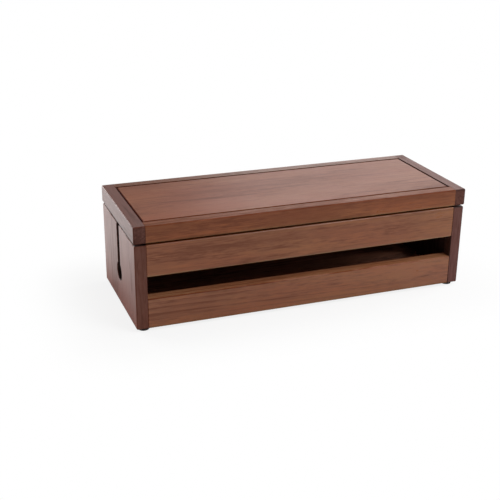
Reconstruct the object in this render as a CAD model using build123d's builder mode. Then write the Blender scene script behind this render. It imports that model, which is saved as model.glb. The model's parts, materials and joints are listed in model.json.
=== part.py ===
"""Wooden cable management box with a lift-off frame-and-panel lid.

Frame: origin on the table, midway between the ends and between front and back.
+X runs along the box to the right, -Y is the slotted front, +Z is up. Millimetres.
"""
import os

from build123d import *

os.makedirs("parts", exist_ok=True)

# Overall size, measured over the lid and down to the soles of the feet.
length = 377.0
depth = 143.0
height = 115.0

# Boards.
stock = 12.5  # thickness of every solid board and rail
arris = 1.6  # rounding of the edges that a hand meets
eased = 0.5  # light easing of the other edges
joint_line = 0.3  # fine bevel where two boards meet on the outside

# Box under the lid.
body_length = 376.0
body_depth = 142.2
foot_height = 3.0
shadow_gap = 1.8  # clear height between box and lid
lid_height = 18.5
front_slot_height = 23.8
lower_rail_height = 33.2
floor_thickness = 6.0
floor_lift = 5.0  # wood left under the floor grooves
groove_depth = 5.0
groove_play = 0.3  # room at the bottom of a groove for the panel to move

# Keyhole for the cables, in both ends.
keyhole_diameter = 20.6
keyhole_neck = 9.9
keyhole_height = 37.5  # from the lower edge of the end board to the hole's centre

# Dowels.
dowel_radius = 3.0
glue_gap = 0.05
dowel_in_end = 8.5
dowel_in_rail = 15.5

# Lid.
tongue_thickness = 4.0
panel_thickness = 9.0
groove_line = 2.5  # width of the sunk line round the panel
lip_thickness = 7.0
lip_drop = 8.0  # how far the lips reach down into the box
lip_play = 0.8  # clearance between the lips and the box walls
lip_rise = 7.5  # height of the glued part of a lip, on the rail's inner face

# Feet and bumpers.
foot_radius = 6.0
foot_taper = 12.0
foot_from_end = 9.0
foot_from_front = 8.5
bumper_radius = 4.0
bumper_from_end = 6.6
bumper_from_front = 17.0

# Barefaced tongues of the back board, stopped short of the floor and the top edge.
back_tongue = 6.0
tongue_above_floor = 2.0
tongue_under_top = 6.0

# Heights and inner faces that follow from the above.
body_bottom = foot_height
lid_bottom = height - lid_height
body_top = lid_bottom - shadow_gap
body_height = body_top - body_bottom
body_middle = (body_top + body_bottom) / 2
inner_x = body_length / 2 - stock
inner_y = body_depth / 2 - stock
rail_y = (body_depth - stock) / 2
lower_rail_top = body_bottom + lower_rail_height
upper_rail_bottom = lower_rail_top + front_slot_height
upper_rail_height = body_top - upper_rail_bottom
floor_bottom = body_bottom + floor_lift
floor_middle = floor_bottom + floor_thickness / 2
lid_inner_x = length / 2 - stock
lid_inner_y = depth / 2 - stock
lid_rail_y = (depth - stock) / 2
lid_middle = lid_bottom + lid_height / 2
tongue_bottom = height - panel_thickness
tongue_middle = tongue_bottom + tongue_thickness / 2
back_tongue_bottom = floor_bottom + floor_thickness + tongue_above_floor
back_tongue_height = body_top - tongue_under_top - back_tongue_bottom
back_tongue_centre = (inner_y + back_tongue / 2, back_tongue_bottom + back_tongue_height / 2)

# Dowel centres as (Y, Z) on the joint face between an end board and what it carries.
upper_rail_dowels = [
    (-rail_y, upper_rail_bottom + upper_rail_height / 2 + step) for step in (-8.5, 8.5)
]
lower_rail_dowels = [(-rail_y, lower_rail_top - step) for step in (17.0, 7.0)]
lid_dowel_height = lid_bottom + 4.6
lid_rail_dowels = [(side * lid_rail_y, lid_dowel_height) for side in (-1, 1)]


def save(builder, name):
    """Label a finished piece and write it to its own file."""
    builder.part.label = name
    export_step(builder.part, f"parts/{name}.step")


def drill(centres, face_x, side):
    """Cut one joint's blind dowel holes from the board that is being built."""
    with BuildSketch(Plane.YZ.offset(side * (face_x - dowel_in_rail))) as holes:
        with Locations(*centres):
            Circle(dowel_radius + glue_gap)
    extrude(holes.sketch, amount=side * (dowel_in_rail + dowel_in_end), mode=Mode.SUBTRACT)


def dowel_group(name, centres, face_x):
    """Beech dowels of one rail, the same set at both of its ends."""
    with BuildPart() as dowels:
        for side in (-1, 1):
            with BuildSketch(Plane.YZ.offset(side * (face_x - dowel_in_rail))):
                with Locations(*centres):
                    Circle(dowel_radius)
            extrude(amount=side * (dowel_in_rail + dowel_in_end))
    save(dowels, name)


def end_block(side, face_x, board_depth, board_height, middle_z):
    """A board across the end of the box or lid, rounded on all its outer edges."""
    with BuildSketch(Plane.YZ.offset(side * face_x)) as outline:
        with Locations((0, middle_z)):
            Rectangle(board_depth, board_height)
    block = extrude(outline.sketch, amount=side * stock)
    outer_face = block.faces().sort_by(Axis.X)[-1 if side > 0 else 0]
    fillet(outer_face.edges() + block.edges().filter_by(Axis.X), arris)


def stopped_groove(side, face_x, reach_y, width, middle_z):
    """A groove in the inner face of an end board that stops short of its edges."""
    with BuildSketch(Plane.YZ.offset(side * face_x)) as mouth:
        with Locations((0, middle_z)):
            Rectangle(2 * (reach_y + groove_depth), width)
    extrude(mouth.sketch, amount=side * groove_depth, mode=Mode.SUBTRACT)


def end_board(name, side):
    """Upright end of the box, with the keyhole that the cables are lowered into."""
    with BuildPart() as board:
        end_block(side, inner_x, body_depth, body_height, body_middle)
        stopped_groove(side, inner_x, inner_y, floor_thickness, floor_middle)
        with BuildSketch(Plane.YZ.offset(side * inner_x)):
            hole_z = body_bottom + keyhole_height
            neck_height = body_top - hole_z
            with Locations((0, hole_z)):
                Circle(keyhole_diameter / 2)
            with Locations((0, hole_z + neck_height / 2)):
                Rectangle(keyhole_neck, neck_height)
        extrude(amount=side * stock, mode=Mode.SUBTRACT)
        rims = board.edges(Select.LAST).group_by(Axis.X)
        chamfer(rims[0] + rims[-1], eased)
        with BuildSketch(Plane.YZ.offset(side * inner_x)):
            with Locations(back_tongue_centre):
                Rectangle(back_tongue, back_tongue_height)
        extrude(amount=side * groove_depth, mode=Mode.SUBTRACT)
        drill(upper_rail_dowels + lower_rail_dowels, inner_x, side)
    save(board, name)


def line_joints(rail, side, outer_y):
    """Bevel the end edges of a rail that show on the outside, for a fine joint line."""
    for end_face in (rail.faces().sort_by(Axis.X)[0], rail.faces().sort_by(Axis.X)[-1]):
        outer_edges = end_face.edges().filter_by(lambda edge: side * edge.center().Y > outer_y - arris)
        chamfer(outer_edges, joint_line)


def rail_section(side, bottom, rail_height, groove_y, groove_z, groove_width):
    """Cross-section of a long board: rounded outside, eased inside, with room for a groove."""
    face_y = groove_y + stock / 2
    with BuildSketch(Plane.YZ) as section:
        with Locations((side * face_y, bottom + rail_height / 2)):
            Rectangle(stock, rail_height)
        across = section.vertices().group_by(Axis.X)
        fillet(across[-1 if side > 0 else 0], arris)
        fillet(across[0 if side > 0 else -1], eased)
        if groove_width > 0:
            with Locations((side * (groove_y + groove_depth / 2), groove_z)):
                Rectangle(groove_depth, groove_width, mode=Mode.SUBTRACT)
    return section.sketch


def box_rail(name, bottom, rail_height, groove_width, centres):
    """A rail across the front of the box, doweled between the two end boards."""
    section = rail_section(-1, bottom, rail_height, inner_y, floor_middle, groove_width)
    with BuildPart() as rail:
        extrude(section, amount=inner_x, both=True)
        line_joints(rail, -1, body_depth / 2)
        for end in (-1, 1):
            drill(centres, inner_x, end)
    save(rail, name)


def lid_end_rail(name, side):
    """Short rail of the lid frame, running through to the front and back faces."""
    with BuildPart() as rail:
        end_block(side, lid_inner_x, depth, lid_height, lid_middle)
        stopped_groove(side, lid_inner_x, lid_inner_y, tongue_thickness, tongue_middle)
        drill(lid_rail_dowels, lid_inner_x, side)
    save(rail, name)


def lid_long_rail(name, side):
    """Long rail of the lid frame, butted between the short rails."""
    section = rail_section(side, lid_bottom, lid_height, lid_inner_y, tongue_middle, tongue_thickness)
    with BuildPart() as rail:
        extrude(section, amount=lid_inner_x, both=True)
        line_joints(rail, side, depth / 2)
        for end in (-1, 1):
            drill([(side * lid_rail_y, lid_dowel_height)], lid_inner_x, end)
    save(rail, name)


def lid_lip(name, side):
    """Rebated strip inside a long rail; its lower half drops into the box."""
    with BuildPart() as lip:
        with BuildSketch(Plane.YZ.offset(lip_play - inner_x)):
            with Locations((side * (lid_inner_y - lip_thickness / 2), lid_bottom + lip_rise / 2)):
                Rectangle(lip_thickness, lip_rise)
            free_face = inner_y - lip_play
            free_thickness = free_face - (lid_inner_y - lip_thickness)
            with Locations((side * (free_face - free_thickness / 2), lid_bottom - lip_drop / 2)):
                Rectangle(free_thickness, lip_drop)
        extrude(amount=2 * (inner_x - lip_play))
        fillet(lip.edges().filter_by(Axis.X).group_by(Axis.Z)[0], 2 * eased)
    save(lip, name)


def foot(name, centre):
    """Rubber foot, tapered towards the table."""
    with BuildPart() as pad:
        with BuildSketch(Plane.XY.offset(body_bottom)):
            with Locations(centre):
                Circle(foot_radius)
        extrude(amount=-foot_height, taper=foot_taper)
    save(pad, name)


def bumper(name, centre):
    """Thin self-adhesive disc under the lid frame; it holds the lid off the box."""
    with BuildPart() as disc:
        with BuildSketch(Plane.XY.offset(lid_bottom)):
            with Locations(centre):
                Circle(bumper_radius)
        extrude(amount=-shadow_gap)
    save(disc, name)


# Box: two end boards, two front rails, the back board and the floor.
for side, place in ((-1, "left"), (1, "right")):
    end_board(f"{place}_end_board", side)

box_rail("front_upper_rail", upper_rail_bottom, upper_rail_height, 0, upper_rail_dowels)
box_rail("front_lower_rail", body_bottom, lower_rail_height, floor_thickness, lower_rail_dowels)

with BuildPart() as back_board:
    back_section = rail_section(1, body_bottom, body_height, inner_y, floor_middle, floor_thickness)
    extrude(back_section, amount=inner_x, both=True)
    line_joints(back_board, 1, body_depth / 2)
    with BuildSketch(Plane.YZ):
        with Locations(back_tongue_centre):
            Rectangle(back_tongue, back_tongue_height)
    extrude(amount=inner_x + groove_depth - groove_play, both=True)
save(back_board, "back_board")

with BuildPart() as floor_panel:
    with BuildSketch(Plane.XY.offset(floor_bottom)):
        tongue = groove_depth - groove_play
        Rectangle(2 * (inner_x + tongue), 2 * (inner_y + tongue))
    extrude(amount=floor_thickness)
save(floor_panel, "floor_panel")

dowel_group("front_upper_dowels", upper_rail_dowels, inner_x)
dowel_group("front_lower_dowels", lower_rail_dowels, inner_x)

# Lid: a frame of four rails, the panel in its grooves and the two locating lips.
for side, place in ((-1, "left"), (1, "right")):
    lid_end_rail(f"lid_{place}_rail", side)

for side, place in ((-1, "front"), (1, "back")):
    lid_long_rail(f"lid_{place}_rail", side)
    lid_lip(f"lid_{place}_lip", side)

with BuildPart() as lid_panel:
    with BuildSketch(Plane.XY.offset(tongue_bottom)):
        tongue = groove_depth - groove_play
        Rectangle(2 * (lid_inner_x + tongue), 2 * (lid_inner_y + tongue))
    extrude(amount=tongue_thickness)
    with BuildSketch(Plane.XY.offset(tongue_bottom)):
        Rectangle(2 * (lid_inner_x - groove_line), 2 * (lid_inner_y - groove_line))
    extrude(amount=panel_thickness)
    fillet(lid_panel.faces().sort_by(Axis.Z)[-1].edges(), eased)
save(lid_panel, "lid_panel")

dowel_group("lid_dowels", lid_rail_dowels, lid_inner_x)

# Rubber feet under the corners of the box, and thin bumpers under those of the lid.
foot_x = body_length / 2 - foot_from_end
foot_y = body_depth / 2 - foot_from_front
bumper_x = body_length / 2 - bumper_from_end
bumper_y = body_depth / 2 - bumper_from_front
for side_y, depth_name in ((-1, "front"), (1, "back")):
    for side_x, end_name in ((-1, "left"), (1, "right")):
        foot(f"foot_{depth_name}_{end_name}", (side_x * foot_x, side_y * foot_y))
        bumper(f"lid_bumper_{depth_name}_{end_name}", (side_x * bumper_x, side_y * bumper_y))
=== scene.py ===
"""Dresses the cable box: stained walnut boards under satin lacquer, beech dowels and rubber pads."""

import json
import math

import bmesh
import bpy
from mathutils import Matrix, Vector


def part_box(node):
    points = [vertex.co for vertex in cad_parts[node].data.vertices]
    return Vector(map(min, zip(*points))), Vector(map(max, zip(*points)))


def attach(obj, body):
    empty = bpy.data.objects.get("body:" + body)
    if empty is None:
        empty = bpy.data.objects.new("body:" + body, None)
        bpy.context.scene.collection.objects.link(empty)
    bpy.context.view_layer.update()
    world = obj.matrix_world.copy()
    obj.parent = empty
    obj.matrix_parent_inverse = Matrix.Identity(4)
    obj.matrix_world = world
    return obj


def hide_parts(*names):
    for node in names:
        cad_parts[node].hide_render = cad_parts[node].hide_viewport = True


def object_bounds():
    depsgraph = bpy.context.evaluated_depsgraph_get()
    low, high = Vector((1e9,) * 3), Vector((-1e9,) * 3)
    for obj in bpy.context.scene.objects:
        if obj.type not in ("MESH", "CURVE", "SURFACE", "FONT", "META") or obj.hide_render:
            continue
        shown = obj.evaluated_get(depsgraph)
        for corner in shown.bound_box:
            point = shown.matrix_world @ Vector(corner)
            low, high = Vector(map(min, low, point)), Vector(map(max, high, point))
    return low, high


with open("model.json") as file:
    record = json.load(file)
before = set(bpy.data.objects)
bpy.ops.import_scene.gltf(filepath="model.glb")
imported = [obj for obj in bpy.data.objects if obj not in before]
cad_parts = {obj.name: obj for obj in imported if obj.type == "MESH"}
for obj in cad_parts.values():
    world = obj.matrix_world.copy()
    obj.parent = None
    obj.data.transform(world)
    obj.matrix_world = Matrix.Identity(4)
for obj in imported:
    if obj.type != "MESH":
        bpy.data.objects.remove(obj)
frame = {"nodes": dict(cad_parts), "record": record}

CAD_BOX = [list(corner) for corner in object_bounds()]

# ---------------------------------------------------------------- camera, in metres and degrees
CAMERA_PLACE = (-0.3887, -0.9266, 0.4433)
CAMERA_AZIMUTH = -20.68
CAMERA_ELEVATION = 21.91
CAMERA_ROLL = 0.58
SENSOR_WIDTH = 36.0
FOCAL_PIXELS = 953.5
FRAME_PIXELS = 500.0

# ---------------------------------------------------------------- lamps, in metres and watts
BOX_MIDDLE = (0.0, 0.0, 0.05)
LAMPS = {
    "front_right_lamp": {
        "place": (0.9, -1.1, 1.6), "aim": BOX_MIDDLE, "width": 0.9, "height": 0.9, "watts": 24.0,
    },
    "right_lamp": {
        "place": (1.6, 0.1, 0.9), "aim": BOX_MIDDLE, "width": 0.9, "height": 0.9, "watts": 21.0,
    },
    "left_back_lamp": {
        "place": (-1.2, 1.6, 0.45), "aim": (-0.15, 0.0, 0.05), "width": 1.4, "height": 0.8, "watts": 39.0,
    },
    "back_right_lamp": {
        "place": (1.15, 1.65, 0.85), "aim": (0.0, 0.0, 0.1), "width": 1.4, "height": 0.8, "watts": 4.6,
    },
}

# ---------------------------------------------------------------- room and floor
# The shadow shows by SHADOW_SHARE beside the box, and fades out over SHADOW_REACH, in metres.
ROOM_LIGHT = 0.25
WHITE = (1.0, 1.0, 1.0, 1.0)
FLOOR_SPAN = 12.0
FLOOR_TONE = 0.80
SHADOW_SHARE = 0.17
SHADOW_REACH = 0.11

# ---------------------------------------------------------------- stains and rubber, from 0 to 255
RAIL_STAIN = {"pale": (136, 79, 36), "deep": (102, 49, 16), "warm": (134, 66, 24)}
LID_RAIL_STAIN = {"pale": (134, 76, 36), "deep": (100, 48, 18), "warm": (131, 63, 25)}
BACK_RAIL_STAIN = {"pale": (116, 67, 36), "deep": (86, 42, 17), "warm": (114, 58, 28)}
PANEL_STAIN = {"pale": (134, 75, 42), "deep": (103, 49, 22), "warm": (132, 63, 32)}
LID_END_STAIN = {"pale": (104, 54, 39), "deep": (80, 37, 24), "warm": (102, 47, 31)}
END_BOARD_STAIN = {"pale": (122, 64, 47), "deep": (94, 45, 30), "warm": (120, 56, 38)}
INSIDE_STAIN = {"pale": (141, 93, 70), "deep": (103, 64, 47), "warm": (142, 87, 62)}
BEECH = {"pale": (214, 176, 132), "deep": (182, 140, 98), "warm": (220, 172, 120)}
RUBBER = {"black": (24, 20, 18), "dusty": (44, 38, 34)}

# ---------------------------------------------------------------- tints, which multiply a stain
PLAIN = (1.0, 1.0, 1.0, 1.0)
PORE_TINT = (0.35, 0.28, 0.25, 1.0)
# The end boards' front and back edges are darker than their faces. The right board's edge tint is lighter
# and greyer than the left's: a painted sheen.
LEFT_EDGE = (0.62, 0.70, 0.68, 1.0)
RIGHT_EDGE_WITH_SHEEN = (0.63, 0.82, 1.15, 1.0)
# A painted sheen that lightens and greys the top face of the lower front rail in the slot.
PAINTED_SHEEN_EDGE = (1.3, 1.85, 4.0, 1.0)
# Painted shade on the arrises: faint on most boards, deeper on two front rails, dark on the right-hand
# boards.
FAINT_ARRIS_SHADE = (0.96, 0.95, 0.94, 1.0)
DEEP_ARRIS_SHADE = (0.77, 0.63, 0.48, 1.0)
DARK_ARRIS_SHADE = (0.42, 0.40, 0.42, 1.0)
# A painted greyish reflection on arrises that face down and on the strip above a lower edge.
PAINTED_ARRIS_SHEEN = (1.05, 1.6, 2.6, 1.0)
# Painted shade on the end boards' inner faces and keyhole walls.
INSIDE_PAINTED_SHADE = (0.30, 0.44, 0.57, 1.0)
# Painted shade down in the sunk line round the lid's panel: on the rails, on the panel, and darker on the
# right rail.
RAIL_LINE_SHADE = (0.50, 0.31, 0.24, 1.0)
PANEL_LINE_SHADE = (0.42, 0.26, 0.20, 1.0)
DEEP_LINE_SHADE = (0.28, 0.17, 0.13, 1.0)

# ---------------------------------------------------------------- places on the boards, in metres
# A mask fades out over EASE.
EASE = 0.0004
END_INNER_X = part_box("right_end_board")[0].x

# The keyholes: how far their rounded arris reaches from the middle, and a height under them.
MILLIMETRE = 0.001
CABLE_PORT = next(mount for mount in frame["record"]["mounts"] if mount["name"] == "right_cable_port")
PORT_RADIUS = CABLE_PORT["dims"]["r_mm"] * MILLIMETRE
PORT_ARRIS = 0.0007
KEYHOLE_REACH = PORT_RADIUS + PORT_ARRIS
KEYHOLE_FOOT = CABLE_PORT["pos_m"][2] - 2.0 * PORT_RADIUS

# The sunk line lies inside the lid's rails.
LID_INNER_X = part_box("lid_right_rail")[0].x
LID_INNER_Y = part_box("lid_back_rail")[0].y
LID_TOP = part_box("lid_panel")[1].z
LINE_WIDTH = 0.0025

# The strip of painted greyish reflection above a board's lower edge, whole in its core. A board
# without one has its lower edge set far under the floor.
PAINTED_SHEEN_STRIP = 0.0030
PAINTED_SHEEN_STRIP_CORE = 0.4 * PAINTED_SHEEN_STRIP
NO_PAINTED_SHEEN_STRIP = -1.0

# The end boards' lacquer is worn from the floor up to here.
WORN_HEIGHT = 0.042

# ---------------------------------------------------------------- the wood's pattern
# How many to the metre, along the fibres and across them.
RING_WANDER = (2.2, 13.0)
RING_UNEVENNESS = (1.5, 60.0)
RING_FADING = (3.0, 40.0)
BROAD_BANDS = (4.0, 26.0)
FINE_FIBRES = (40.0, 900.0)
MIDDLE_FIBRES = (14.0, 330.0)
FLECKS = (80.0, 480.0)
LIVELY_PATCHES = (7.0, 45.0)
STREAKS = (6.0, 100.0)
PORES = (150.0, 1350.0)
PORE_PATCHES = (9.0, 210.0)
WARM_PATCHES = (9.0, 34.0)

# How far, in rings, the rings are pushed to make their widths differ.
RING_SHIFT = 2.4

# From where to where in one ring's width, which is 1.
EARLY_TO_LATE = (0.05, 0.86)
LATE_LINE = (0.66, 0.88)
RING_END = (0.88, 1.0)

# How much each part of the pattern deepens the stain, or swings it both ways, and where it starts.
STAIN_DEPTH = {"Ring": 0.20, "Late Line": 0.40, "Streak": 0.65}
STAIN_SWING = {"Broad": 2.0, "Fibre": 4.4}
STAIN_START = 0.24
WARM_SHARE = 0.7
PORE_STAIN = 0.35

# ---------------------------------------------------------------- masks read from the surface's normal
# From where a mask starts to where it is whole, on the part of the normal along an axis.
SQUARE_ON = (0.55, 0.9)
OFF_SQUARE = (0.995, 0.94)
LEANING_DOWN = (-0.05, -0.25)
NOT_LEVEL = (0.95, 0.75)
NOT_ENDWARD = (0.8, 0.4)
PATCHES_PER_METRE = 160.0

# ---------------------------------------------------------------- the lacquer
# How much duller each part of the wood makes it, and how far the part stands proud under it.
LACQUER_DULLING = {
    "Pore": 0.15, "End Grain": 0.20, "Narrow Edge": 0.18, "Arris": 0.34, "Sunk Line": 0.40,
}
LACQUER_RELIEF = {"Fibre": 0.55, "Ring": 0.12, "Pore": -0.55}
SOAKING = 0.9
SOAKED_DULLING = 0.3
DULLEST = 0.9
RIPPLES_PER_METRE = 28.0
RIPPLE_DULLING = 0.10
PEEL_PER_METRE = 420.0
PEEL_RELIEF = 0.25
GRAIN_BUMP = 0.35
GRAIN_DEPTH = 0.00012
WOOD_IOR = 1.38
COAT_ROUGHNESS = 0.40


# ================================================================ laying out nodes
SOCKETS = {"value": "NodeSocketFloat", "colour": "NodeSocketColor", "vector": "NodeSocketVector"}
MIX_SHARE, MIX_FIRST, MIX_SECOND = 0, 6, 7
MIX_RESULT = 2


def feed(tree, socket, value):
    """Joins a socket to another one, or sets its own value."""
    if isinstance(value, bpy.types.NodeSocket):
        tree.links.new(value, socket)
    else:
        socket.default_value = value


def add(tree, kind, inputs=None, **settings):
    """One node with its settings and what feeds it, by socket name or number."""
    node = tree.nodes.new(kind)
    for name, value in settings.items():
        setattr(node, name, value)
    for name, value in (inputs or {}).items():
        feed(tree, node.inputs[name], value)
    return node


def calc(tree, operation, *values, clamp=False):
    """One step of arithmetic."""
    node = add(tree, "ShaderNodeMath", dict(enumerate(values)), operation=operation, use_clamp=clamp)
    return node.outputs[0]


def total(tree, *values):
    """The sum of several values."""
    result = values[0]
    for value in values[1:]:
        result = calc(tree, "ADD", result, value)
    return result


def weighed(tree, given, weights):
    """Several of a group's inputs, each times its own weight."""
    return [calc(tree, "MULTIPLY", given[name], weight) for name, weight in weights.items()]


def swing(tree, value, amount):
    """A shade from 0 to 1 turned into one that swings evenly round zero."""
    return calc(tree, "MULTIPLY", calc(tree, "SUBTRACT", value, 0.5), amount)


def calc_vector(tree, operation, *values):
    """One step of arithmetic on vectors."""
    node = add(tree, "ShaderNodeVectorMath", dict(enumerate(values)), operation=operation)
    return node.outputs["Value" if operation in ("DOT_PRODUCT", "LENGTH") else "Vector"]


def along_axes(tree, vector):
    """A vector's three values."""
    return add(tree, "ShaderNodeSeparateXYZ", {0: vector}).outputs


def spread(tree, value, low, high, low_out=0.0, high_out=1.0):
    """A value moved from one range to another with soft ends."""
    node = add(
        tree,
        "ShaderNodeMapRange",
        {"Value": value, "From Min": low, "From Max": high, "To Min": low_out, "To Max": high_out},
        interpolation_type="SMOOTHSTEP",
    )
    return node.outputs["Result"]


def blend_colours(tree, share, first, second, kind="MIX"):
    """Two colours mixed or multiplied by a share."""
    inputs = {MIX_SHARE: share, MIX_FIRST: first, MIX_SECOND: second}
    return add(tree, "ShaderNodeMix", inputs, data_type="RGBA", blend_type=kind).outputs[MIX_RESULT]


def noise(tree, vector, scale, detail=3.0, roughness=0.55):
    """Soft random shades from 0 to 1."""
    inputs = {"Vector": vector, "Scale": scale, "Detail": detail, "Roughness": roughness}
    return add(tree, "ShaderNodeTexNoise", inputs).outputs["Fac"]


def drawn_out(tree, vector, per_metre):
    """A vector for a pattern drawn out along the fibres: so many to the metre along and across them."""
    along, across = per_metre
    return calc_vector(tree, "MULTIPLY", vector, (along, across, across))


def grained(tree, vector, per_metre, detail=3.0, roughness=0.55):
    """Soft random shades drawn out along the fibres."""
    return noise(tree, drawn_out(tree, vector, per_metre), 1.0, detail, roughness)


def new_group(name, inputs, outputs):
    """A node group with its named sockets. Returns it, what it is given and where its results go."""
    group = bpy.data.node_groups.new(name, "ShaderNodeTree")
    for side, sockets in (("INPUT", inputs), ("OUTPUT", outputs)):
        for label, kind in sockets.items():
            group.interface.new_socket(label, in_out=side, socket_type=SOCKETS[kind])
    start = group.nodes.new("NodeGroupInput")
    end = group.nodes.new("NodeGroupOutput")
    return group, start.outputs, end.inputs


def use(tree, group, inputs=None):
    """The outputs of a shared group placed in a material."""
    return add(tree, "ShaderNodeGroup", inputs, node_tree=group).outputs


def srgb(red, green, blue):
    """A paint-chart colour from 0 to 255 as the linear colour that shaders use."""
    shades = [shade / 255.0 for shade in (red, green, blue)]
    linear = [s / 12.92 if s <= 0.04045 else ((s + 0.055) / 1.055) ** 2.4 for s in shades]
    return (*linear, 1.0)


# ================================================================ shared effects
def growth_rings():
    """Yearly rings round a pith that lies along X. They wander, differ in width and fade in places."""
    group, given, result = new_group(
        "growth_rings",
        {"Vector": "vector", "Ring Width": "value", "Wander": "value"},
        {"Ring": "value", "Late Line": "value", "Broad": "value"},
    )
    slow = drawn_out(group, given["Vector"], RING_WANDER)
    push = add(group, "ShaderNodeTexNoise", {"Vector": slow, "Scale": 1.0, "Detail": 2.0})
    centred = calc_vector(group, "SUBTRACT", push.outputs["Color"], (0.5, 0.5, 0.5))
    wander = add(group, "ShaderNodeVectorMath", {0: centred, "Scale": given["Wander"]}, operation="SCALE")
    moved = calc_vector(group, "ADD", given["Vector"], wander.outputs["Vector"])
    radius = calc_vector(group, "LENGTH", calc_vector(group, "MULTIPLY", moved, (0.0, 1.0, 1.0)))
    count = calc(group, "DIVIDE", radius, given["Ring Width"])
    uneven = calc(group, "MULTIPLY", grained(group, moved, RING_UNEVENNESS, detail=2.0), RING_SHIFT)
    ring = calc(group, "FRACT", calc(group, "ADD", count, uneven))
    fall = spread(group, ring, *RING_END)
    faded = spread(group, grained(group, moved, RING_FADING, detail=2.0), low=0.35, high=0.65)
    rise = calc(group, "SUBTRACT", spread(group, ring, *EARLY_TO_LATE), fall)
    feed(group, result["Ring"], calc(group, "MULTIPLY", rise, faded))
    late = calc(group, "MULTIPLY", spread(group, ring, *LATE_LINE), calc(group, "SUBTRACT", 1.0, fall))
    feed(group, result["Late Line"], calc(group, "MULTIPLY", late, faded))
    feed(group, result["Broad"], grained(group, moved, BROAD_BANDS, detail=2.0))
    return group


def fibres_and_pores():
    """Fine fibres along X, dark streaks, and the short dark pores of an open-grained wood."""
    group, given, result = new_group(
        "fibres_and_pores",
        {"Vector": "vector", "Pore Share": "value"},
        {"Fibre": "value", "Streak": "value", "Pore": "value", "Warmth": "value"},
    )
    vector = given["Vector"]
    layers = [
        grained(group, vector, FINE_FIBRES, detail=3.0, roughness=0.6),
        grained(group, vector, MIDDLE_FIBRES, detail=3.0, roughness=0.6),
        grained(group, vector, FLECKS, detail=2.0, roughness=0.6),
    ]
    mixed = calc(group, "MULTIPLY", total(group, *layers), 1.0 / len(layers))
    patches = grained(group, vector, LIVELY_PATCHES, detail=2.0)
    lively = spread(group, patches, low=0.36, high=0.64, low_out=0.45, high_out=1.25)
    swung = calc(group, "MULTIPLY", swing(group, mixed, 1.0), lively)
    feed(group, result["Fibre"], calc(group, "ADD", swung, 0.5))
    streaks = grained(group, vector, STREAKS, detail=4.0, roughness=0.65)
    feed(group, result["Streak"], spread(group, streaks, low=0.52, high=0.76))
    cells = add(group, "ShaderNodeTexVoronoi", {"Vector": drawn_out(group, vector, PORES)}, feature="F1")
    dash = spread(group, cells.outputs["Distance"], low=0.34, high=0.12)
    clusters = grained(group, vector, PORE_PATCHES, detail=2.0)
    chosen = calc(group, "LESS_THAN", clusters, given["Pore Share"])
    feed(group, result["Pore"], calc(group, "MULTIPLY", dash, chosen))
    warmth = grained(group, vector, WARM_PATCHES, detail=2.0)
    feed(group, result["Warmth"], spread(group, warmth, low=0.34, high=0.68))
    return group


def facing():
    """1 on faces square to an axis, 0 on faces that run along it. Forward leaves out those that face
    against the axis."""
    group, given, result = new_group("facing", {"Axis": "vector"}, {"Share": "value", "Forward": "value"})
    surface = add(group, "ShaderNodeTexCoord").outputs["Normal"]
    turned = calc_vector(group, "DOT_PRODUCT", surface, given["Axis"])
    feed(group, result["Share"], spread(group, calc(group, "ABSOLUTE", turned), *SQUARE_ON))
    feed(group, result["Forward"], spread(group, turned, *SQUARE_ON))
    return group


def rounded_arris():
    """1 on the rounded arrises and 0 on the flat faces. Under is the same for the arrises that face
    down and for the strip just above a board's lower edge, which take their own tint, a painted
    greyish reflection on some boards."""
    group, given, result = new_group(
        "rounded_arris",
        {"Vector": "vector", "Lower Edge": "value"},
        {"Share": "value", "Under": "value"},
    )
    coordinates = add(group, "ShaderNodeTexCoord").outputs
    surface = coordinates["Normal"]
    endward, frontward, upward = along_axes(group, calc_vector(group, "ABSOLUTE", surface))
    squarest = calc(group, "MAXIMUM", calc(group, "MAXIMUM", endward, frontward), upward)
    patches = noise(group, given["Vector"], PATCHES_PER_METRE)
    patchy = spread(group, patches, low=0.30, high=0.62, low_out=0.9, high_out=1.0)
    arris = calc(group, "MULTIPLY", spread(group, squarest, *OFF_SQUARE), patchy)
    lift = along_axes(group, surface)[2]
    under = calc(group, "MULTIPLY", arris, spread(group, lift, *LEANING_DOWN))
    above = calc(group, "SUBTRACT", along_axes(group, coordinates["Object"])[2], given["Lower Edge"])
    strip = calc(group, "MULTIPLY", spread(group, above, PAINTED_SHEEN_STRIP, PAINTED_SHEEN_STRIP_CORE), patchy)
    strip = calc(group, "MULTIPLY", strip, spread(group, upward, *NOT_LEVEL))
    feed(group, result["Share"], calc(group, "MAXIMUM", arris, strip))
    feed(group, result["Under"], calc(group, "MAXIMUM", under, strip))
    return group


def inner_face():
    """1 on the end boards' inner faces and on the walls of their keyholes, which take painted shade, 0
    outside.
    """
    group, _, result = new_group("inner_face", {}, {"Share": "value"})
    coordinates = add(group, "ShaderNodeTexCoord").outputs
    off_middle, off_centre, height = along_axes(
        group, calc_vector(group, "ABSOLUTE", coordinates["Object"]))
    inside = spread(group, off_middle, END_INNER_X + EASE, END_INNER_X)
    endward = along_axes(group, calc_vector(group, "ABSOLUTE", coordinates["Normal"]))[0]
    near = spread(group, off_centre, KEYHOLE_REACH + EASE, KEYHOLE_REACH)
    raised = spread(group, height, KEYHOLE_FOOT, KEYHOLE_FOOT + EASE)
    in_keyhole = calc(group, "MULTIPLY", near, raised)
    wall = calc(group, "MULTIPLY", in_keyhole, spread(group, endward, *NOT_ENDWARD))
    feed(group, result["Share"], calc(group, "MAXIMUM", inside, wall))
    return group


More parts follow.
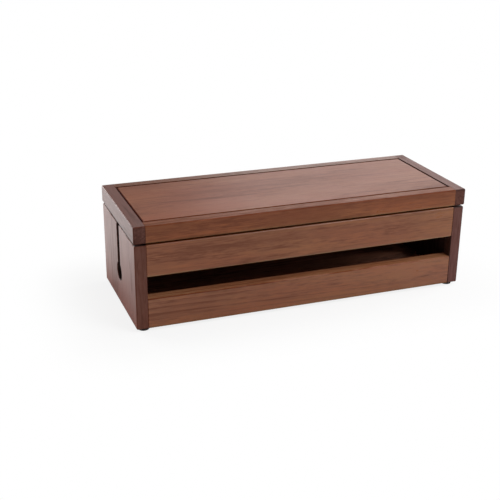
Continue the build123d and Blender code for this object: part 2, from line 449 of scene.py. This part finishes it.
def sunk_line():
    """1 down in the sunk line round the lid's panel, where painted shade darkens the stain and no lacquer
    reaches.
    """
    group, _, result = new_group("sunk_line", {}, {"Share": "value"})
    place = add(group, "ShaderNodeTexCoord").outputs["Object"]
    off_middle, off_centre, height = along_axes(group, calc_vector(group, "ABSOLUTE", place))
    past_length = calc(group, "SUBTRACT", off_middle, LID_INNER_X)
    past_width = calc(group, "SUBTRACT", off_centre, LID_INNER_Y)
    past = calc(group, "MAXIMUM", past_length, past_width)
    in_line = spread(group, past, -LINE_WIDTH - EASE, -LINE_WIDTH)
    before_rail = spread(group, past, EASE, 0.0)
    sunk = spread(group, height, LID_TOP, LID_TOP - EASE)
    held = calc(group, "MULTIPLY", in_line, before_rail)
    feed(group, result["Share"], calc(group, "MULTIPLY", held, sunk))
    return group


def stain_colour():
    """The stain's colour, deeper in late wood, streaks and pores, and tinted on end grain and narrow
    edges.
    It carries painted shade on arrises, inside the box and in the sunk line, and painted sheen on some
    edges and on arrises that face down."""
    colours = ("Pale", "Deep", "Warm", "Edge Tint", "Arris Tint", "Under Tint", "Inner Tint", "Line Tint")
    pattern = ("Ring", "Late Line", "Broad", "Fibre", "Streak", "Pore", "Warmth", "Figure", "End Tone")
    masks = ("End Grain", "Narrow Edge", "Arris", "Under Arris", "Inner Face", "Sunk Line")
    group, given, result = new_group(
        "stain_colour",
        {**dict.fromkeys(colours, "colour"), **dict.fromkeys(pattern + masks, "value")},
        {"Color": "colour", "Depth": "value"},
    )
    swings = [swing(group, given[name], amount) for name, amount in STAIN_SWING.items()]
    depth = total(group, *weighed(group, given, STAIN_DEPTH), *swings)
    depth = calc(group, "ADD", calc(group, "MULTIPLY", depth, given["Figure"]), STAIN_START, clamp=True)
    warm = calc(group, "MULTIPLY", given["Warmth"], WARM_SHARE)
    light = blend_colours(group, warm, given["Pale"], given["Warm"])
    colour = blend_colours(group, depth, light, given["Deep"])
    pores = calc(group, "MULTIPLY", given["Pore"], PORE_STAIN)
    cut = add(group, "ShaderNodeCombineColor", dict.fromkeys((0, 1, 2), given["End Tone"])).outputs[0]
    arris = blend_colours(group, given["Under Arris"], given["Arris Tint"], given["Under Tint"])
    tints = (
        (pores, PORE_TINT),
        (given["End Grain"], cut),
        (given["Narrow Edge"], given["Edge Tint"]),
        (given["Arris"], arris),
        (given["Inner Face"], given["Inner Tint"]),
        (given["Sunk Line"], given["Line Tint"]),
    )
    for mask, tint in tints:
        colour = blend_colours(group, mask, colour, tint, "MULTIPLY")
    feed(group, result["Color"], colour)
    feed(group, result["Depth"], depth)
    return group


def satin_lacquer():
    """How a thin satin lacquer lies: faintly rippled, thin and dull where the wood drinks, on end grain
    and on edges."""
    settings = ("Roughness", "Build", "Soak", "Foot Wear")
    pattern = ("Depth", "Fibre", "Ring", "Pore")
    masks = ("End Grain", "Narrow Edge", "Arris", "Sunk Line")
    group, given, result = new_group(
        "satin_lacquer",
        {"Vector": "vector", **dict.fromkeys(settings + pattern + masks, "value")},
        {"Roughness": "value", "Build": "value", "Height": "value"},
    )
    soaked = calc(group, "MULTIPLY", swing(group, given["Depth"], SOAKING), given["Soak"])
    rough = total(
        group,
        given["Roughness"],
        swing(group, noise(group, given["Vector"], RIPPLES_PER_METRE), RIPPLE_DULLING),
        calc(group, "MULTIPLY", soaked, SOAKED_DULLING),
        *weighed(group, given, LACQUER_DULLING),
    )
    feed(group, result["Roughness"], calc(group, "MINIMUM", rough, DULLEST))
    bare = calc(group, "MAXIMUM", given["End Grain"], given["Narrow Edge"])
    bare = calc(group, "MAXIMUM", bare, calc(group, "MAXIMUM", given["Arris"], given["Sunk Line"]))
    left = calc(group, "SUBTRACT", 1.0, calc(group, "ADD", bare, soaked), clamp=True)
    above_floor = along_axes(group, add(group, "ShaderNodeTexCoord").outputs["Object"])[2]
    worn = calc(group, "MULTIPLY", spread(group, above_floor, WORN_HEIGHT, 0.0), given["Foot Wear"])
    left = calc(group, "MULTIPLY", left, calc(group, "SUBTRACT", 1.0, worn))
    feed(group, result["Build"], calc(group, "MULTIPLY", given["Build"], left))
    peel = calc(group, "MULTIPLY", noise(group, given["Vector"], PEEL_PER_METRE, detail=2.0), PEEL_RELIEF)
    feed(group, result["Height"], total(group, peel, *weighed(group, given, LACQUER_RELIEF)))
    return group


GROWTH_RINGS = growth_rings()
FIBRES_AND_PORES = fibres_and_pores()
FACING = facing()
ROUNDED_ARRIS = rounded_arris()
INNER_FACE = inner_face()
SUNK_LINE = sunk_line()
STAIN_COLOUR = stain_colour()
SATIN_LACQUER = satin_lacquer()

# ================================================================ finishes of the wood
AXES = {"X": (1.0, 0.0, 0.0), "Y": (0.0, 1.0, 0.0), "Z": (0.0, 0.0, 1.0), "": (0.0, 0.0, 0.0)}
TURN_TO_FIBRES = {
    "X": (0.0, 0.0, 0.0),
    "Y": (0.0, 0.0, -math.pi / 2),
    "Z": (0.0, math.pi / 2, 0.0),
}


def blank_material(name):
    """A material with nothing in it but its output. Returns it, its tree and the output's socket."""
    material = bpy.data.materials.new(name)
    material.use_nodes = True
    tree = material.node_tree
    tree.nodes.clear()
    end = tree.nodes.new("ShaderNodeOutputMaterial")
    return material, tree, end.inputs["Surface"]


def board_finish(
    name, fibres, stain, pith, lean,
    ring_width=0.0042, wander=0.012, pores=0.5, figure=1.0,
    rough=0.42, build=1.0, soak=1.0, rub=1.0, foot_wear=0.0,
    narrow="", edge_tint=PLAIN, arris_tint=FAINT_ARRIS_SHADE, under_tint=FAINT_ARRIS_SHADE,
    inner_tint=PLAIN, line_tint=RAIL_LINE_SHADE, end_tone=0.75, lower_edge=NO_PAINTED_SHEEN_STRIP,
):
    """One board's finish.

    The wood: fibres is the axis that the fibres run along, pith is where the tree's centre lies, in
    metres, once they run along X, and lean is how far they run off the board's length, in degrees.
    ring_width and wander are in metres, pores is how much of the wood shows open pores, and figure is
    how strongly its pattern shows.

    The lacquer: rough is how dull it is, build is how thick it lies, soak is how unevenly the wood
    drinks it, rub is how far it is rubbed off the arrises, and foot_wear is how far it is worn off
    near the floor.

    The tints: narrow is the axis that the board's narrow edges face, and edge_tint is their tint,
    which on some boards carries painted sheen. arris_tint is the painted shade on the arrises,
    under_tint that on the arrises that face down, a painted greyish reflection on some boards,
    inner_tint the painted shade on the faces inside the box and line_tint the painted shade in the
    sunk line. end_tone is how bright end grain is. A board that is given its lower_edge, a height in
    metres, has a strip just above it that takes under_tint.
    """
    material, tree, surface = blank_material(name)
    place = add(tree, "ShaderNodeTexCoord").outputs["Object"]
    turned = add(tree, "ShaderNodeMapping", {"Vector": place, "Rotation": TURN_TO_FIBRES[fibres]})
    tilt = tuple(math.radians(angle) for angle in lean)
    centred = add(
        tree,
        "ShaderNodeMapping",
        {"Vector": turned.outputs["Vector"], "Location": pith, "Rotation": tilt},
    )
    vector = centred.outputs["Vector"]
    rings = use(tree, GROWTH_RINGS, {"Vector": vector, "Ring Width": ring_width, "Wander": wander})
    fibre = use(tree, FIBRES_AND_PORES, {"Vector": vector, "Pore Share": pores})
    ends = use(tree, FACING, {"Axis": AXES[fibres]})["Share"]
    edges = use(tree, FACING, {"Axis": AXES[narrow]})["Forward" if narrow == "Z" else "Share"]
    arris = use(tree, ROUNDED_ARRIS, {"Vector": vector, "Lower Edge": lower_edge})
    line = use(tree, SUNK_LINE)["Share"]
    colour = use(tree, STAIN_COLOUR, {
        "Pale": srgb(*stain["pale"]),
        "Deep": srgb(*stain["deep"]),
        "Warm": srgb(*stain["warm"]),
        "Ring": rings["Ring"],
        "Late Line": rings["Late Line"],
        "Broad": rings["Broad"],
        "Fibre": fibre["Fibre"],
        "Streak": fibre["Streak"],
        "Pore": fibre["Pore"],
        "Warmth": fibre["Warmth"],
        "Figure": figure,
        "End Grain": ends,
        "End Tone": end_tone,
        "Narrow Edge": edges,
        "Edge Tint": edge_tint,
        "Arris": arris["Share"],
        "Arris Tint": arris_tint,
        "Under Arris": arris["Under"],
        "Under Tint": under_tint,
        "Inner Face": use(tree, INNER_FACE)["Share"],
        "Inner Tint": inner_tint,
        "Sunk Line": line,
        "Line Tint": line_tint,
    })
    lacquer = use(tree, SATIN_LACQUER, {
        "Vector": vector,
        "Roughness": rough,
        "Build": build,
        "Soak": soak,
        "Foot Wear": foot_wear,
        "Depth": colour["Depth"],
        "Fibre": fibre["Fibre"],
        "Ring": rings["Ring"],
        "Pore": fibre["Pore"],
        "End Grain": ends,
        "Narrow Edge": edges,
        "Arris": calc(tree, "MULTIPLY", arris["Share"], rub),
        "Sunk Line": line,
    })
    bump = add(tree, "ShaderNodeBump", {
        "Height": lacquer["Height"], "Strength": GRAIN_BUMP, "Distance": GRAIN_DEPTH})
    shader = add(tree, "ShaderNodeBsdfPrincipled", {
        "Base Color": colour["Color"],
        "Roughness": lacquer["Roughness"],
        "Normal": bump.outputs["Normal"],
        "IOR": WOOD_IOR,
        "Coat Weight": lacquer["Build"],
        "Coat Roughness": COAT_ROUGHNESS,
    })
    feed(tree, surface, shader.outputs["BSDF"])
    return material


def dress(node, material):
    """Gives a CAD board its finish."""
    board = frame["nodes"][node]
    for number in range(len(board.data.materials)):
        board.data.materials[number] = material


def lower_edge_of(node):
    """How high a board's lower edge lies."""
    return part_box(node)[0].z


# The end boards' end grain is dark, and its low tone also paints shade on their top edges, seen through
# the gap under the lid.
END_BOARD = {
    "fibres": "Z", "stain": END_BOARD_STAIN, "narrow": "Y", "inner_tint": INSIDE_PAINTED_SHADE,
    "build": 0.9, "soak": 0.65, "figure": 0.85, "end_tone": 0.2, "foot_wear": 1.0,
}
LID_END_RAIL = {"fibres": "Y", "stain": LID_END_STAIN, "soak": 0.6, "end_tone": 0.68}
BARE_BOARD = {"fibres": "X", "stain": INSIDE_STAIN, "rough": 0.6, "build": 0.0, "lean": (0.4, 1.1, 0.7)}

BOARDS = {
    "front_upper_rail": {
        "fibres": "X", "stain": RAIL_STAIN, "pith": (0.10, 0.16, -0.02), "lean": (0.1, 0.3, 0.2),
        "build": 0.6, "rub": 0.0, "under_tint": PAINTED_ARRIS_SHEEN,
        "lower_edge": lower_edge_of("front_upper_rail"),
    },
    "front_lower_rail": {
        "fibres": "X", "stain": RAIL_STAIN, "pith": (2.91, 0.15, 0.07), "lean": (0.1, -0.4, 0.3),
        "build": 0.8, "narrow": "Z", "edge_tint": PAINTED_SHEEN_EDGE, "arris_tint": DEEP_ARRIS_SHADE,
        "under_tint": PAINTED_ARRIS_SHEEN, "lower_edge": lower_edge_of("front_lower_rail"),
    },
    "lid_front_rail": {
        "fibres": "X", "stain": LID_RAIL_STAIN, "pith": (2.60, 0.13, -0.105), "lean": (0.1, 0.4, -0.2),
        "build": 0.15, "arris_tint": DEEP_ARRIS_SHADE, "under_tint": PAINTED_ARRIS_SHEEN,
        "lower_edge": lower_edge_of("lid_front_rail"),
    },
    "lid_back_rail": {
        "fibres": "X", "stain": BACK_RAIL_STAIN, "pith": (0.83, -0.10, -0.12), "lean": (0.3, -1.1, 0.6),
        "build": 0.55, "soak": 0.5,
    },
    # The panel's end tone lightens its end-grain edges down in the sunk line well past its face: painted
    # light in the left line.
    "lid_panel": {
        "fibres": "X", "stain": PANEL_STAIN, "pith": (1.20, 0.04, -0.22), "lean": (0.5, 1.2, 0.2),
        "build": 0.42, "soak": 0.3, "figure": 0.9, "end_tone": 2.5, "line_tint": PANEL_LINE_SHADE,
    },
    "left_end_board": {
        **END_BOARD, "pith": (0.40, 0.03, 0.09), "lean": (0.6, 1.5, 1.0), "edge_tint": LEFT_EDGE,
    },
    "right_end_board": {
        **END_BOARD, "pith": (0.90, -0.02, -0.11), "lean": (0.4, -1.2, 0.8), "edge_tint": RIGHT_EDGE_WITH_SHEEN,
        "arris_tint": DARK_ARRIS_SHADE,
    },
    "lid_left_rail": {
        **LID_END_RAIL, "pith": (0.25, -0.12, -0.06), "lean": (0.5, 1.1, 0.8), "build": 0.85,
    },
    "lid_right_rail": {
        **LID_END_RAIL, "pith": (0.71, 0.14, -0.05), "lean": (0.4, -1.4, 0.6), "build": 0.2,
        "line_tint": DEEP_LINE_SHADE, "arris_tint": DARK_ARRIS_SHADE,
    },
    "back_board": {
        "fibres": "X", "stain": RAIL_STAIN, "pith": (1.60, -0.14, -0.06), "lean": (0.4, 0.9, 1.2),
        "build": 0.7,
    },
    "floor_panel": {**BARE_BOARD, "pith": (2.10, 0.03, 0.20)},
    "lid_front_lip": {**BARE_BOARD, "pith": (2.60, 0.08, -0.05)},
    "lid_back_lip": {**BARE_BOARD, "pith": (3.60, 0.08, -0.05)},
}
for node, settings in BOARDS.items():
    dress(node, board_finish(f"walnut_{node}", **settings))

DOWEL_FINISH = board_finish(
    "beech_dowel", "X", BEECH, pith=(3.3, 0.05, 0.04), lean=(0.0, 0.5, 0.5),
    ring_width=0.0024, pores=0.35, figure=0.6, rough=0.68, build=0.0, end_tone=0.86,
)
for node in frame["nodes"]:
    if node.endswith("dowels"):
        dress(node, DOWEL_FINISH)

# ================================================================ rubber pads, in metres
CORNERS = ("front_left", "front_right", "back_left", "back_right")
PADS = {
    "foot": {"taper": math.radians(4.0), "rim": 0.0016, "dish": 0.0006},
    "lid_bumper": {"taper": 0.0, "rim": 0.0011, "dish": 0.0002},
}
PAD_BODY = {"foot": "box", "lid_bumper": "lid"}
PAD_SIDES = 48
PAD_ROUNDING = 0.0006
ROUNDING_STEPS = 4
SHARP = math.radians(30.0)
FACING_DOWN = -0.9
BLOOM_PER_METRE = 240.0
PEBBLES_PER_METRE = 2600.0
PEBBLE_BUMP = 0.4
PEBBLE_DEPTH = 0.00008


def rubber_finish():
    """Moulded black-brown rubber: matt, with a fine pebble and a dusty bloom."""
    material, tree, surface = blank_material("foot_rubber")
    place = add(tree, "ShaderNodeTexCoord").outputs["Object"]
    bloom = noise(tree, place, BLOOM_PER_METRE, detail=4.0)
    colour = blend_colours(tree, bloom, srgb(*RUBBER["black"]), srgb(*RUBBER["dusty"]))
    rough = spread(tree, bloom, low=0.2, high=0.8, low_out=0.62, high_out=0.86)
    pebble = noise(tree, place, PEBBLES_PER_METRE, detail=2.0)
    bump = add(tree, "ShaderNodeBump", {
        "Height": pebble, "Strength": PEBBLE_BUMP, "Distance": PEBBLE_DEPTH})
    shader = add(tree, "ShaderNodeBsdfPrincipled", {
        "Base Color": colour, "Roughness": rough, "Normal": bump.outputs["Normal"]})
    feed(tree, surface, shader.outputs["BSDF"])
    return material


def pick_faces(piece, wanted):
    """Selects only those faces of the piece in edit mode that pass a test."""
    bpy.ops.mesh.select_mode(type="FACE")
    bpy.ops.mesh.select_all(action="DESELECT")
    mesh = bmesh.from_edit_mesh(piece.data)
    for face in mesh.faces:
        face.select_set(wanted(face))
    bmesh.update_edit_mesh(piece.data)


def moulded_pad(node, finish, taper, rim, dish):
    """A round pad in a CAD pad's place: its own taper, a rounded rim and a shallow dish in the sole."""
    low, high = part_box(node)
    height = high.z - low.z
    top_radius = (high.x - low.x) / 2
    bpy.ops.object.select_all(action="DESELECT")
    bpy.ops.mesh.primitive_cone_add(
        vertices=PAD_SIDES,
        radius1=top_radius - height * math.tan(taper),
        radius2=top_radius,
        depth=height,
        location=(low + high) / 2,
    )
    pad = bpy.context.object
    bpy.ops.object.mode_set(mode="EDIT")
    pick_faces(pad, lambda face: face.normal.z < FACING_DOWN)
    bpy.ops.mesh.inset(thickness=rim)
    bpy.ops.mesh.extrude_region_move(TRANSFORM_OT_translate={"value": (0.0, 0.0, dish)})
    bpy.ops.mesh.inset(thickness=rim)
    bpy.ops.mesh.select_all(action="SELECT")
    bpy.ops.mesh.remove_doubles()
    bpy.ops.mesh.normals_make_consistent(inside=False)
    bpy.ops.object.mode_set(mode="OBJECT")
    bpy.ops.object.transform_apply(location=True, rotation=True, scale=True)
    edge = pad.modifiers.new("rounded_edges", "BEVEL")
    edge.width = PAD_ROUNDING
    edge.segments = ROUNDING_STEPS
    edge.limit_method = "ANGLE"
    edge.angle_limit = SHARP
    edge.use_clamp_overlap = True
    bpy.ops.object.modifier_apply(modifier=edge.name)
    bpy.ops.object.shade_smooth_by_angle(angle=SHARP)
    pad.data.materials.append(finish)
    return pad


def copied_pad(pad, shift):
    """A copy of a pad, with a mesh of its own, moved to another corner."""
    bpy.ops.object.select_all(action="DESELECT")
    pad.select_set(True)
    bpy.context.view_layer.objects.active = pad
    bpy.ops.object.duplicate()
    copy = bpy.context.object
    copy.location = shift
    bpy.ops.object.transform_apply(location=True, rotation=True, scale=True)
    return copy


def lay_in(pad, kind, corner):
    """Puts a pad in the place of its CAD pad."""
    node = f"{kind}_{corner}"
    pad.name = f"rubber_{node}"
    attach(pad, PAD_BODY[kind])
    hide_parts(node)


def lay_in_pads():
    """Moulds one foot and one bumper, copies them to the other corners, and lays all of them in."""
    finish = rubber_finish()
    first, *others = CORNERS
    moulded = {kind: moulded_pad(f"{kind}_{first}", finish, **sizes) for kind, sizes in PADS.items()}
    for corner in others:
        for kind, pad in moulded.items():
            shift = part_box(f"{kind}_{corner}")[0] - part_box(f"{kind}_{first}")[0]
            lay_in(copied_pad(pad, shift), kind, corner)
    for kind, pad in moulded.items():
        lay_in(pad, kind, first)


lay_in_pads()


# ================================================================ stage
def lay_floor():
    """A pale floor: white to the camera far out, and with the box's own shadow near it."""
    bpy.ops.object.select_all(action="DESELECT")
    bpy.ops.mesh.primitive_plane_add(size=FLOOR_SPAN, location=(0.0, 0.0, 0.0))
    floor = bpy.context.object
    floor.name = "floor"
    material, tree, surface = blank_material("pale_floor")
    rays = add(tree, "ShaderNodeLightPath").outputs
    place = add(tree, "ShaderNodeTexCoord").outputs["Object"]
    reach_x, reach_y, _ = CAD_BOX[1]
    beyond = calc_vector(tree, "SUBTRACT", calc_vector(tree, "ABSOLUTE", place), (reach_x, reach_y, 0.0))
    gap = calc_vector(tree, "LENGTH", calc_vector(tree, "MAXIMUM", beyond, (0.0, 0.0, 0.0)))
    away = spread(tree, gap, low=0.0, high=SHADOW_REACH, low_out=1.0 - SHADOW_SHARE, high_out=1.0)
    shade = add(tree, "ShaderNodeBsdfDiffuse", {"Color": (FLOOR_TONE, FLOOR_TONE, FLOOR_TONE, 1.0)})
    white = add(tree, "ShaderNodeEmission", {"Color": WHITE, "Strength": 1.0})
    seen = calc(tree, "MULTIPLY", rays["Is Camera Ray"], away)
    mixed = add(tree, "ShaderNodeMixShader", {0: seen, 1: shade.outputs[0], 2: white.outputs[0]})
    feed(tree, surface, mixed.outputs[0])
    floor.data.materials.append(material)


def fill_room():
    """A little light from all round, and a white backdrop for the camera."""
    world = bpy.data.worlds.new("room")
    world.use_nodes = True
    tree = world.node_tree
    tree.nodes.clear()
    end = tree.nodes.new("ShaderNodeOutputWorld")
    rays = add(tree, "ShaderNodeLightPath").outputs
    strength = spread(tree, rays["Is Camera Ray"], low=0.0, high=1.0, low_out=ROOM_LIGHT, high_out=1.0)
    back = add(tree, "ShaderNodeBackground", {"Color": WHITE, "Strength": strength})
    feed(tree, end.inputs["Surface"], back.outputs[0])
    bpy.context.scene.world = world


def soft_box(name, place, aim, width, height, watts):
    """One soft rectangular lamp, aimed at a point."""
    lamp = bpy.data.lights.new(name, "AREA")
    lamp.shape = "RECTANGLE"
    lamp.size = width
    lamp.size_y = height
    lamp.energy = watts
    stand = bpy.data.objects.new(name, lamp)
    bpy.context.scene.collection.objects.link(stand)
    stand.location = place
    stand.rotation_euler = (Vector(aim) - Vector(place)).to_track_quat("-Z", "Y").to_euler()
    stand.visible_camera = False


def set_camera():
    """The camera at its place, turned by its azimuth, elevation and roll."""
    azimuth, elevation, roll = (math.radians(a) for a in (CAMERA_AZIMUTH, CAMERA_ELEVATION, CAMERA_ROLL))
    back = Vector((
        math.sin(azimuth) * math.cos(elevation),
        -math.cos(azimuth) * math.cos(elevation),
        math.sin(elevation),
    ))
    level = Vector((math.cos(azimuth), math.sin(azimuth), 0.0))
    upward = back.cross(level)
    right = math.cos(roll) * level + math.sin(roll) * upward
    up = -math.sin(roll) * level + math.cos(roll) * upward
    data = bpy.data.cameras.new("camera")
    data.sensor_width = SENSOR_WIDTH
    data.lens = FOCAL_PIXELS / FRAME_PIXELS * SENSOR_WIDTH
    camera = bpy.data.objects.new("camera", data)
    bpy.context.scene.collection.objects.link(camera)
    turn = Matrix((right, up, back)).transposed().to_4x4()
    camera.matrix_world = Matrix.Translation(CAMERA_PLACE) @ turn
    bpy.context.scene.camera = camera


lay_floor()
fill_room()
for name, settings in LAMPS.items():
    soft_box(name, **settings)
set_camera()
bpy.context.scene.view_settings.view_transform = "Standard"
